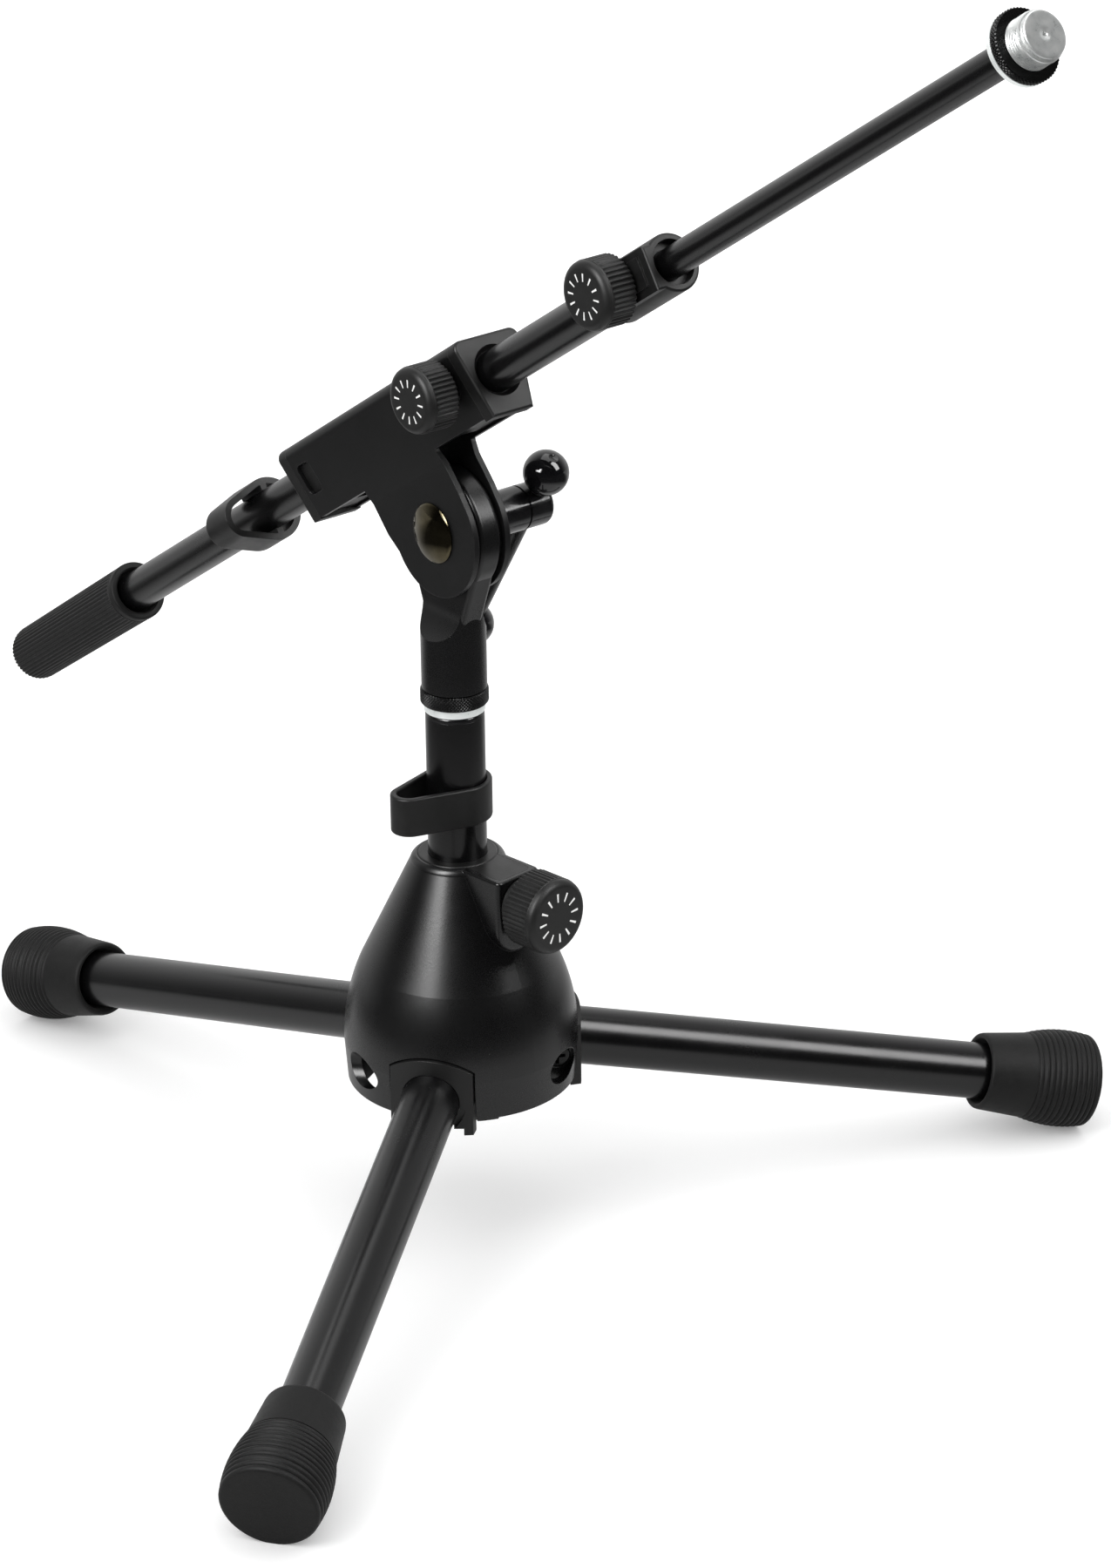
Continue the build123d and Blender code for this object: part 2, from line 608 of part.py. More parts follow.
def boom_grip():
    """Ribbed rubber grip: closed rounded tail and a collar around the tube."""
    body = turned(
        (0, BOOM_TAIL),
        (6.5, BOOM_TAIL),
        ((9.2, BOOM_TAIL + 1.1), (10.3, BOOM_TAIL + 4)),
        (10.8, GRIP_FRONT - 1),
        (9.8, GRIP_FRONT),
        (0, GRIP_FRONT),
    )
    body -= along_z(BOOM_RADIUS + SEAT_FIT, BOOM_TAIL + 4.9, -150)
    body -= along_z(8.6, GRIP_FRONT - 3, -150)
    return BOOM * Rot(0, 90, 0) * body


def boom_sleeve():
    """Plastic telescoping clamp on the tube's end: round body, flat near side, raised pad."""
    section = Circle(SLEEVE_RADIUS) + Pos(-SLEEVE_RADIUS / 2, 0) * Rectangle(SLEEVE_RADIUS, 14.4)
    sleeve = wall_yz(section, SLEEVE_REAR, SLEEVE_FRONT)
    ends = sleeve.edges().group_by(Axis.X)
    sleeve = fillet(ends[0] + ends[-1], 0.9)
    sleeve += block((150.5, 157.5), (-SLEEVE_RADIUS - 0.7, -5), (-4.6, 5.0))
    sleeve -= along_x(BOOM_RADIUS + SEAT_FIT, 100, TUBE_FRONT + 0.1)
    sleeve -= along_x(INNER_RADIUS + RUNNING_FIT, 100, 200)
    sleeve -= along_x(7.4, 157, 200)
    sleeve -= Pos(SLEEVE_KNOB_AT, 0, 0) * along_y(4.22, -20, 0)
    return BOOM * sleeve


def sleeve_nut():
    nut = along_y(4.2, -9.45, -7.1) - along_y(SLEEVE_SCREW_RADIUS + RUNNING_FIT, -20, 0)
    return BOOM * Pos(SLEEVE_KNOB_AT, 0, 0) * nut


def boom_cable_clip():
    """Strap around the tube's tail, gripping it with three inner ribs, loop towards -Y."""
    band = Rot(0, 0, -90) * (teardrop(11.3, 7.4, 11.8) - teardrop(9.0, 5.1, 11.8))
    clip = wall_yz(band, -110, -96)
    for angle in (-90, 0, 180):
        clip += Rot(angle, 0, 0) * block((-110, -96), (-1.2, 1.2), (BOOM_RADIUS, 10))
    return BOOM * (clip - along_x(BOOM_RADIUS + RUNNING_FIT, -120, -90))


def boom_inner_tube():
    return BOOM * (along_x(INNER_RADIUS, INNER_REAR, INNER_FRONT) - along_x(INNER_BORE_RADIUS, 0, 400))


def inner_guide_plug():
    """Plug on the hidden end of the inner tube that guides it in the outer one."""
    collar = along_x(BOOM_BORE_RADIUS - RUNNING_FIT, INNER_REAR - 12, INNER_REAR - 0.1)
    return BOOM * (collar + along_x(INNER_BORE_RADIUS - SEAT_FIT, INNER_REAR - 1, INNER_REAR + 14))


def tip_stud():
    """5/8 inch microphone stud with its neck, its flange and the plug inside the tube."""
    stud = along_x(STUD_RADIUS, THREAD_START, BOOM_TIP)
    stud = chamfer(stud.edges().sort_by(Axis.X)[-1], 0.7)
    stud += along_x(STUD_NECK_RADIUS, INNER_FRONT + 1, THREAD_START)
    stud += along_x(8.8, INNER_FRONT + 0.05, INNER_FRONT + 1.1)
    return BOOM * (stud + along_x(INNER_BORE_RADIUS - SEAT_FIT, INNER_FRONT - 25, INNER_FRONT + 1))


def tip_washer():
    washer = along_x(11.0, 338.15, 339.75) - along_x(STUD_NECK_RADIUS + SEAT_FIT, 300, 400)
    return BOOM * washer


def tip_lock_ring():
    ring = along_x(11.25, 339.8, 342.7)
    ring = chamfer(ring.edges(), 0.4)
    return BOOM * (ring - along_x(STUD_NECK_RADIUS + RUNNING_FIT, 300, 400))


# --- write every node --------------------------------------------------------
def main():
    os.makedirs("parts", exist_ok=True)
    builders = (
        base_housing, rod_guide_bush, base_clamp_insert, base_clamp_nut,
        base_knob, base_knob_screw,
        rod_tube, rod_bottom_cap, rod_top_plug, rod_washer, rod_lock_ring, rod_cable_clip,
        swivel_neck, friction_discs, pivot_bolt,
        bracket_channel, bracket_rear_bush, bracket_front_block, bracket_clamp_nut,
        bracket_knob, bracket_knob_screw,
        lever_hub, lever_bar, lever_balls,
        boom_outer_tube, boom_grip, boom_sleeve, sleeve_nut, sleeve_knob, sleeve_knob_screw,
        boom_cable_clip, boom_inner_tube, inner_guide_plug, tip_stud, tip_washer, tip_lock_ring,
    )
    for build in builders:
        save(build.__name__, build())
    save("leg_hinge_screws", hinge_screws())
    for name, azimuth in LEG_AZIMUTHS.items():
        save(f"{name}_leg_tube", leg_tube(azimuth))
        save(f"{name}_leg_hinge", leg_hinge_block(azimuth))
        save(f"{name}_leg_foot", leg_foot(azimuth))


main()
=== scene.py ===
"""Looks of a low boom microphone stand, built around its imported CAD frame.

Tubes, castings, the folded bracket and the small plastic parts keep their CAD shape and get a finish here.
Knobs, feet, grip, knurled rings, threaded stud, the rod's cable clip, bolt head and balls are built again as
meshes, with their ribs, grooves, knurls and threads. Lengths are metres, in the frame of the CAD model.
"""

import json
import math

import bpy
from mathutils import Matrix, Vector


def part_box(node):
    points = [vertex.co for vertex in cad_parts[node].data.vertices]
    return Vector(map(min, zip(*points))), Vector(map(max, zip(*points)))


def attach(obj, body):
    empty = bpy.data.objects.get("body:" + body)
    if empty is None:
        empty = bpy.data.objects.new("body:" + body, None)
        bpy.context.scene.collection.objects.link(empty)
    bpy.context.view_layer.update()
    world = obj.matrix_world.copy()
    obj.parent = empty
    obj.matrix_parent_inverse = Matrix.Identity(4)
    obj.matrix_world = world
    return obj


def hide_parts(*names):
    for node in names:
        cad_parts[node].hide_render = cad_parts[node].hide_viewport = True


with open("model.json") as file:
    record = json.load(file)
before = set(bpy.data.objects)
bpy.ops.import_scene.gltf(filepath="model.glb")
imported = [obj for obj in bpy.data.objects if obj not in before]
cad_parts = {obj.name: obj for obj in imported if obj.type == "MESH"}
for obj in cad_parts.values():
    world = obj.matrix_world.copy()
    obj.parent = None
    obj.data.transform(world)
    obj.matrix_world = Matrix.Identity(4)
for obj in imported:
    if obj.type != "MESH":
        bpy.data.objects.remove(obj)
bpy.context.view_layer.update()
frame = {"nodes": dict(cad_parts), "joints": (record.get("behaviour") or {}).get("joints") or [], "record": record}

MM = 0.001
NODES = frame["nodes"]
JOINTS = {joint["name"]: joint for joint in frame["joints"]}
BODY_OF = {
    node: body
    for body, members in frame["record"]["behaviour"]["bodies"].items()
    for node in members
}
SLOT_OF = {part["node"]: part["material_slot"] for part in frame["record"]["subparts"]}


# --- places, taken from the frame --------------------------------------------
def axis_place(origin, direction, upright=(0, 0, 1)):
    """Matrix with its origin on an axis, Z along it and X as close to upright as it can be."""
    z = Vector(direction).normalized()
    x = Vector(upright) - z * Vector(upright).dot(z)
    if x.length < 0.1:
        x = Vector((1, 0, 0)) - z * z.x
    x.normalize()
    place = Matrix((x, z.cross(x), z)).transposed().to_4x4()
    place.translation = Vector(origin)
    return place


def joint_place(name):
    return axis_place(JOINTS[name]["pos_m"], JOINTS[name]["axis"])


def middle(node):
    low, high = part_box(node)
    return (low + high) / 2


def extent(node, place):
    """Lowest and highest height along the place's Z, and largest radius about it, of a CAD node."""
    back = place.inverted()
    points = [back @ vertex.co for vertex in NODES[node].data.vertices]
    heights = [point.z for point in points]
    return min(heights), max(heights), max(math.hypot(point.x, point.y) for point in points)


BOOM_AXIS = Vector(JOINTS["boom_slide"]["axis"])
BOOM_PLACE = axis_place(JOINTS["tip_ring_turn"]["pos_m"], BOOM_AXIS)
PIVOT = Vector(JOINTS["bracket_tilt"]["pos_m"])


# --- mesh helpers ------------------------------------------------------------
def new_piece(name, vertices, faces, place, sharp_degrees=35):
    """Mesh object from points in a place's own axes, smooth except at edges sharper than the angle."""
    mesh = bpy.data.meshes.new(name)
    mesh.from_pydata([place @ Vector(point) for point in vertices], [], faces)
    mesh.validate()
    mesh.shade_smooth()
    mesh.set_sharp_from_angle(angle=math.radians(sharp_degrees))
    piece = bpy.data.objects.new(name, mesh)
    bpy.context.scene.collection.objects.link(piece)
    return piece


def arc(centre, radius, start, end, steps):
    """Points on an arc in an outline; angles in degrees, 0 outwards and 90 upwards."""
    points = []
    for step in range(steps + 1):
        angle = math.radians(start + (end - start) * step / steps)
        points.append((centre[0] + radius * math.cos(angle), centre[1] + radius * math.sin(angle)))
    return points


def straight(start, end, steps):
    """Evenly spaced outline points from start to end."""
    return [
        tuple(a + (b - a) * step / steps for a, b in zip(start, end, strict=True))
        for step in range(steps + 1)
    ]


def joined(*stretches):
    """One outline from several stretches, without the doubled points where they meet."""
    outline = []
    for stretch in stretches:
        for point in stretch:
            if not outline or math.dist(point, outline[-1]) > 1e-6:
                outline.append(point)
    return outline


def turned(name, place, outline, steps, relief=None, sharp_degrees=35):
    """Turned piece from an outline of (radius, height) points. An outline that starts and ends on
    the axis is capped there; any other closes on itself. relief(angle, radius, height) returns the
    radius with ribs, grooves or knurls worked in."""
    on_axis = outline[0][0] < 1e-9 and outline[-1][0] < 1e-9
    rings = outline[1:-1] if on_axis else outline
    vertices = []
    for radius, height in rings:
        for step in range(steps):
            angle = 2 * math.pi * step / steps
            real = relief(angle, radius, height) if relief else radius
            vertices.append((real * math.cos(angle), real * math.sin(angle), height))
    faces = []
    count = len(rings)
    for ring in range(count - 1 if on_axis else count):
        above = (ring + 1) % count
        for step in range(steps):
            after = (step + 1) % steps
            faces.append((ring * steps + step, ring * steps + after, above * steps + after, above * steps + step))
    if on_axis:
        bottom, top = len(vertices), len(vertices) + 1
        vertices += [(0, 0, outline[0][1]), (0, 0, outline[-1][1])]
        last = (count - 1) * steps
        for step in range(steps):
            after = (step + 1) % steps
            faces.append((bottom, after, step))
            faces.append((top, last + step, last + after))
    return new_piece(name, vertices, faces, place, sharp_degrees)


def put_on(piece, node, material):
    """Let a new piece stand for a CAD node: same body, new finish."""
    piece.data.materials.append(material)
    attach(piece, BODY_OF[node])
    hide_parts(node)
    return piece


def ribs(angle, count, sharpness=1.6):
    """0 on top of a rib and 1 at the bottom of a groove, for evenly spread ribs."""
    return (0.5 - 0.5 * math.cos(count * angle)) ** sharpness


def ramp(value, start, end):
    """0 before start, 1 after end, smooth between."""
    share = min(max((value - start) / (end - start), 0), 1)
    return share * share * (3 - 2 * share)


# --- node materials ----------------------------------------------------------
class Finish:
    """A node material under construction: a Principled shader and small helpers around it."""

    def __init__(self, name, roughness=0.5, metallic=0.0, specular=0.5):
        self.material = bpy.data.materials.new(name)
        self.material.use_nodes = True
        self.nodes = self.material.node_tree.nodes
        self.links = self.material.node_tree.links
        self.shader = self.nodes["Principled BSDF"]
        self.set("Roughness", roughness)
        self.set("Metallic", metallic)
        self.set("Specular IOR Level", specular)
        self.coordinates = self.nodes.new("ShaderNodeTexCoord").outputs["Object"]
        self.normal = None

    def set(self, name, value):
        self.shader.inputs[name].default_value = value

    def link(self, output, target):
        self.links.new(output, target)

    def stretched(self, scale):
        """Object coordinates scaled per axis."""
        mapping = self.nodes.new("ShaderNodeMapping")
        mapping.inputs["Scale"].default_value = scale
        self.link(self.coordinates, mapping.inputs["Vector"])
        return mapping.outputs["Vector"]

    def noise(self, size, detail=3.0, rough=0.55, vector=None):
        """Noise whose features are about size metres across."""
        node = self.nodes.new("ShaderNodeTexNoise")
        node.inputs["Scale"].default_value = 1 / size
        node.inputs["Detail"].default_value = detail
        node.inputs["Roughness"].default_value = rough
        self.link(vector or self.coordinates, node.inputs["Vector"])
        return node.outputs["Fac"]

    def cells(self, size, feature="F1", randomness=1.0):
        node = self.nodes.new("ShaderNodeTexVoronoi")
        node.feature = feature
        node.inputs["Scale"].default_value = 1 / size
        node.inputs["Randomness"].default_value = randomness
        self.link(self.coordinates, node.inputs["Vector"])
        return node.outputs["Distance"]

    def spread(self, value, low, high, start=0.3, end=0.7):
        """Map a 0 to 1 texture to the range low to high."""
        node = self.nodes.new("ShaderNodeMapRange")
        for name, number in (("From Min", start), ("From Max", end), ("To Min", low), ("To Max", high)):
            node.inputs[name].default_value = number
        self.link(value, node.inputs["Value"])
        return node.outputs["Result"]

    def maths(self, operation, first, second):
        node = self.nodes.new("ShaderNodeMath")
        node.operation = operation
        for socket, value in zip(node.inputs, (first, second), strict=False):
            if isinstance(value, (int, float)):
                socket.default_value = value
            else:
                self.link(value, socket)
        return node.outputs["Value"]

    def mix(self, factor, first, second):
        """Colour between two; each is a colour triple or a socket."""
        node = self.nodes.new("ShaderNodeMix")
        node.data_type = "RGBA"
        self.link(factor, node.inputs["Factor"])
        for socket, value in ((node.inputs[6], first), (node.inputs[7], second)):
            if isinstance(value, tuple):
                socket.default_value = (*value, 1)
            else:
                self.link(value, socket)
        return node.outputs[2]

    def bump(self, height, depth):
        """Add relief of about depth metres on top of any relief already there."""
        node = self.nodes.new("ShaderNodeBump")
        node.inputs["Strength"].default_value = 1.0
        node.inputs["Distance"].default_value = depth
        self.link(height, node.inputs["Height"])
        if self.normal is not None:
            self.link(self.normal, node.inputs["Normal"])
        self.normal = node.outputs["Normal"]

    def rounded(self, radius):
        """Shade edges as if rounded, as cast, moulded and coated edges are."""
        node = self.nodes.new("ShaderNodeBevel")
        node.samples = 4
        node.inputs["Radius"].default_value = radius
        self.normal = node.outputs["Normal"]

    def edges(self, start=0.004, end=0.05):
        """1 on edges and 0 away from them, from how far the rounded normal leans off the true one."""
        geometry = self.nodes.new("ShaderNodeNewGeometry")
        lean = self.nodes.new("ShaderNodeVectorMath")
        lean.operation = "DOT_PRODUCT"
        self.link(self.normal, lean.inputs[0])
        self.link(geometry.outputs["Normal"], lean.inputs[1])
        return self.spread(self.maths("SUBTRACT", 1.0, lean.outputs["Value"]), 0, 1, start, end)

    def done(self, colour=None, roughness=None):
        if isinstance(colour, tuple):
            self.set("Base Color", (*colour, 1))
        elif colour is not None:
            self.link(colour, self.shader.inputs["Base Color"])
        if roughness is not None:
            self.link(roughness, self.shader.inputs["Roughness"])
        if self.normal is not None:
            self.link(self.normal, self.shader.inputs["Normal"])
        return self.material


def coated_metal(name, dark, light, smooth, rough, pebble, edge_radius, specular=0.42):
    """Powder or wet coat on metal: orange peel, faint smears in the gloss, dust, and edges painted lighter, part
    rubbed wear and part painted edge highlight.
    """
    finish = Finish(name, specular=specular)
    finish.rounded(edge_radius)
    worn_and_highlit_edges = finish.edges()
    finish.bump(finish.noise(0.9 * MM, 2.0), pebble)
    smear = finish.noise(28 * MM, 4.0)
    speck = finish.spread(finish.cells(5.5 * MM), 1, 0, 0.012, 0.022)
    grain = finish.noise(0.35 * MM, 2.0)
    colour = finish.mix(finish.spread(grain, 0, 1), dark, light)
    # edges painted lighter at random strength: part rubbed wear, part painted highlight along the edges
    colour = finish.mix(finish.maths("MULTIPLY", worn_and_highlit_edges, finish.spread(smear, 0.05, 0.4)), colour, (0.045, 0.045, 0.046))
    colour = finish.mix(finish.maths("MULTIPLY", speck, 0.5), colour, (0.12, 0.12, 0.115))
    gloss = finish.maths("ADD", finish.spread(smear, smooth, rough), finish.spread(grain, -0.02, 0.02))
    return finish.done(colour, finish.maths("ADD", gloss, finish.maths("MULTIPLY", speck, 0.3)))


def moulded_plastic(name, dark, light, rough, grain_depth, edge_radius, specular=0.33):
    """Moulded nylon: spark-eroded grain, slight cloudiness, and handled edges, polished and painted lighter, part
    wear and part painted edge highlight.
    """
    finish = Finish(name, specular=specular)
    finish.rounded(edge_radius)
    worn_and_highlit_edges = finish.edges()
    finish.bump(finish.cells(0.28 * MM, "SMOOTH_F1"), grain_depth)
    finish.bump(finish.noise(1.6 * MM, 3.0), grain_depth)
    cloud = finish.noise(9 * MM, 4.0)
    colour = finish.mix(finish.spread(cloud, 0, 1), dark, light)
    # edges painted lighter: part handled wear, part painted highlight along the edges
    colour = finish.mix(finish.maths("MULTIPLY", worn_and_highlit_edges, 0.3), colour, (0.045, 0.045, 0.044))
    sheen = finish.spread(cloud, rough - 0.06, rough + 0.06)
    return finish.done(colour, finish.maths("SUBTRACT", sheen, finish.maths("MULTIPLY", worn_and_highlit_edges, 0.12)))


def rubber(name, dark, light, rough):
    """Black rubber: dry mottled bloom, pores and a little sheen at grazing angles."""
    finish = Finish(name, specular=0.17)
    finish.bump(finish.noise(0.5 * MM, 4.0, 0.7), 0.05 * MM)
    finish.bump(finish.noise(3.5 * MM, 3.0), 0.08 * MM)
    bloom = finish.noise(6 * MM, 5.0, 0.65)
    pores = finish.spread(finish.cells(1.3 * MM), 1, 0, 0.03, 0.09)
    colour = finish.mix(finish.spread(bloom, 0, 1), dark, light)
    colour = finish.mix(finish.maths("MULTIPLY", pores, 0.35), colour, (0.06, 0.06, 0.058))
    finish.set("Sheen Weight", 0.05)
    finish.set("Sheen Roughness", 0.5)
    return finish.done(colour, finish.spread(bloom, rough - 0.07, rough + 0.07))


def polished_black(name, colour, rough):
    """Glossy black lacquer or phenolic: deep, with hairline swirls and a few finger smears."""
    finish = Finish(name, roughness=rough, specular=0.6)
    finish.bump(finish.noise(4.5 * MM, 2.0), 0.05 * MM)
    finish.bump(finish.noise(0.25 * MM, 1.0), 0.0015 * MM)
    smear = finish.noise(7 * MM, 4.0)
    tint = finish.mix(finish.spread(smear, 0, 1), colour, tuple(1.5 * part for part in colour))
    return finish.done(tint, finish.spread(smear, rough * 0.7, rough * 1.8))


def bright_metal(name, base, tint, rough, streak_along, streak_depth, metallic=1.0):
    """Plated metal with machining lines: streaks run across the axes that are scaled up."""
    finish = Finish(name, metallic=metallic, specular=0.5)
    finish.rounded(0.15 * MM)
    lines = finish.noise(0.6 * MM, 3.0, 0.6, finish.stretched(streak_along))
    finish.bump(lines, streak_depth)
    cloud = finish.noise(3.2 * MM, 4.0)
    colour = finish.mix(finish.spread(cloud, 0, 1), base, tint)
    gloss = finish.maths("ADD", finish.spread(cloud, rough * 0.8, rough * 1.25), finish.spread(lines, -0.05, 0.08))
    return finish.done(colour, gloss)


def printed_ink(name):
    """White pad print on the knobs."""
    finish = Finish(name, specular=0.4)
    finish.bump(finish.noise(0.3 * MM, 2.0), 0.01 * MM)
    blotch = finish.noise(1.2 * MM, 3.0)
    colour = finish.mix(finish.spread(blotch, 0, 1), (0.74, 0.74, 0.73), (0.88, 0.88, 0.87))
    return finish.done(colour, finish.spread(blotch, 0.4, 0.55))


MATERIALS = {
    "cast_black": coated_metal(
        "cast_black", (0.0018, 0.0018, 0.0020), (0.0030, 0.0030, 0.0032), 0.25, 0.32, 0.010 * MM, 0.3 * MM
    ),
    "tube_black": coated_metal(
        "tube_black", (0.0016, 0.0016, 0.0018), (0.0026, 0.0026, 0.0028), 0.20, 0.27, 0.006 * MM, 0.2 * MM
    ),
    "sheet_black": coated_metal(
        "sheet_black", (0.0040, 0.0040, 0.0042), (0.0062, 0.0062, 0.0064), 0.33, 0.42, 0.012 * MM, 0.4 * MM, 0.27
    ),
    "ring_black": coated_metal(
        "ring_black", (0.0016, 0.0016, 0.0016), (0.0028, 0.0028, 0.0028), 0.22, 0.30, 0.005 * MM, 0.08 * MM, 0.24
    ),
    "plastic_black": moulded_plastic(
        "plastic_black", (0.0045, 0.0045, 0.0045), (0.0075, 0.0075, 0.0074), 0.44, 0.010 * MM, 0.25 * MM
    ),
    "ball_plastic": polished_black("ball_plastic", (0.003, 0.003, 0.0035), 0.07),
    "rubber_black": rubber("rubber_black", (0.0030, 0.0030, 0.0030), (0.0065, 0.0065, 0.0064), 0.56),
    "zinc_steel": bright_metal("zinc_steel", (0.58, 0.60, 0.60), (0.68, 0.70, 0.69), 0.27, (1, 1, 6), 0.003 * MM),
    "nickel": bright_metal("nickel", (0.064, 0.054, 0.032), (0.094, 0.081, 0.050), 0.08, (1, 1, 1), 0.0004 * MM),
    "brass": bright_metal("brass", (0.62, 0.44, 0.18), (0.74, 0.55, 0.26), 0.24, (1, 1, 6), 0.005 * MM),
}
KNOB_PLASTIC = moulded_plastic(
    "knob_plastic", (0.0065, 0.0065, 0.0064), (0.0095, 0.0095, 0.0093), 0.45, 0.012 * MM, 0.1 * MM
)
HUB_LACQUER = polished_black("hub_lacquer", (0.0035, 0.0035, 0.004), 0.15)
INSERT_PLASTIC = moulded_plastic(
    "insert_plastic", (0.0055, 0.0055, 0.0055), (0.0085, 0.0085, 0.0083), 0.36, 0.014 * MM, 0.3 * MM
)
STUD_ZINC = bright_metal(
    "stud_zinc", (0.62, 0.64, 0.635), (0.76, 0.77, 0.76), 0.33, (1, 1, 6), 0.004 * MM, metallic=0.72
)
WASHER_PLATING = bright_metal(
    "washer_plating", (0.86, 0.90, 0.885), (0.93, 0.96, 0.95), 0.34, (1, 1, 6), 0.001 * MM, metallic=0.45
)
INK = printed_ink("white_print")


def dress_cad_nodes():
    """Every CAD node that stays gets its slot's finish, with a few finer choices."""
    special = {"lever_hub": HUB_LACQUER, "rod_top_plug": HUB_LACQUER, "rod_washer": WASHER_PLATING,
        "tip_washer": WASHER_PLATING, "base_clamp_insert": INSERT_PLASTIC, "lever_bar": MATERIALS["cast_black"]}
    for node, piece in NODES.items():
        piece.data.materials.clear()
        piece.data.materials.append(special.get(node, MATERIALS[SLOT_OF[node]]))


# --- knobs -------------------------------------------------------------------
TICKS = 12


def knob(node, joint, rib_count, rib_depth, steps_per_rib=10):
    """Clamp knob: hub, gripped rim, smooth rounded shoulder and a flat face with printed ticks."""
    place = joint_place(joint)
    low, high, radius = extent(node, place)
    hub_radius = 0.66 * radius
    back = low + hub_depth[node]
    rim_end = high - 2.9 * MM
    face_radius = radius - 2.0 * MM
    groove_end = rim_end - 0.7 * MM
    tick_in, tick_out = 0.52 * face_radius, 0.80 * face_radius
    outline = joined(
        [(0, low), (hub_radius, low), (hub_radius, back)],
        arc((radius - 0.5 * MM, back + 0.5 * MM), 0.5 * MM, -90, 0, 3),
        straight((radius, back + 0.5 * MM), (radius, groove_end), 6),
        straight((radius, groove_end), (radius, rim_end), 4),
        arc((radius - 0.35 * MM, rim_end), 0.35 * MM, 0, 60, 3),
        arc((face_radius - 0.6 * MM, high - 2.4 * MM), 2.4 * MM, 12, 90, 10),
        straight((face_radius - 0.6 * MM, high), (tick_out, high), 1),
        straight((tick_out, high), (tick_in, high), 2),
        [(0, high)],
    )

    def relief(angle, distance, height):
        if distance < hub_radius + 0.5 * MM or height > rim_end:
            return distance
        fade = 1 - ramp(height, groove_end, rim_end)
        return distance - rib_depth * fade * ribs(angle, rib_count)

    piece = turned(node + "_cap", place, outline, rib_count * steps_per_rib, relief, 40)
    piece.data.materials.append(KNOB_PLASTIC)
    piece.data.materials.append(INK)
    back_to_place = place.inverted()
    for face in piece.data.polygons:
        centre = back_to_place @ face.center
        distance = math.hypot(centre.x, centre.y)
        turn = math.degrees(math.atan2(centre.y, centre.x)) % (360 / TICKS)
        if high - centre.z < 0.01 * MM and tick_in < distance < tick_out and turn < 5.5:
            face.material_index = 1
    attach(piece, BODY_OF[node])
    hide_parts(node)


hub_depth = {"base_knob": 4.4 * MM, "bracket_knob": 2.3 * MM, "sleeve_knob": 1.2 * MM}


# --- feet and grip -----------------------------------------------------------
def leg_place(side):
    """Place on the leg's axis at its hinge, Z pointing out along the tube."""
    hinge = Vector(JOINTS[f"{side}_leg_fold"]["pos_m"])
    return axis_place(hinge, middle(f"{side}_leg_tube") - hinge)


def foot(side):
    """Rubber foot: rounded lip, plain taper, moulded rings around the tread and a flat end."""
    node = f"{side}_leg_foot"
    place = leg_place(side)
    low, high, widest = extent(node, place)
    tube = extent(f"{side}_leg_tube", place)[2]
    rings_start, rings_end = low + 17.3 * MM, high - 1.3 * MM
    ring_pitch = (rings_end - rings_start) / 11.5

    def body_radius(height):
        """Taper to the tread, then a shallow barrel whose widest place is at three quarters."""
        along = (height - low) / MM
        if along < 17.3:
            return 13.5 * MM + 1.6 * MM * along / 17.3
        bulge = (along - 31.5) / 13
        return widest - 1.87 * MM * bulge * bulge

    side_wall = [
        (body_radius(height), height)
        for _, height in straight((0, low + 1.6 * MM), (0, rings_start), 5)
        + straight((0, rings_start), (0, rings_end), 110)
    ]
    end_radius = body_radius(rings_end)
    outline = joined(
        [(tube + 0.05 * MM, low + 7 * MM), (tube + 1.0 * MM, low + 4 * MM)],
        [(tube + 1.5 * MM, low + 1.2 * MM)],
        arc((tube + 2.5 * MM, low + 1.0 * MM), 1.0 * MM, 190, 345, 8),
        side_wall,
        arc((end_radius - 1.3 * MM, rings_end), 1.3 * MM, 4, 88, 8),
        [(14.0 * MM, high), (7 * MM, high), (0, high)],
    )
    outline = [(0, low + 7 * MM)] + outline

    def relief(angle, distance, height):
        if not rings_start < height < rings_end or distance < 12.2 * MM:
            return distance
        phase = (height - rings_start) / ring_pitch
        crest = abs(math.sin(math.pi * phase)) ** 0.6
        return distance - 0.85 * MM * (1 - crest)

    piece = turned(node + "_rubber", place, outline, 128, relief, 60)
    for vertex in piece.data.vertices:
        vertex.co.z = max(vertex.co.z, 0.0)
    put_on(piece, node, MATERIALS["rubber_black"])


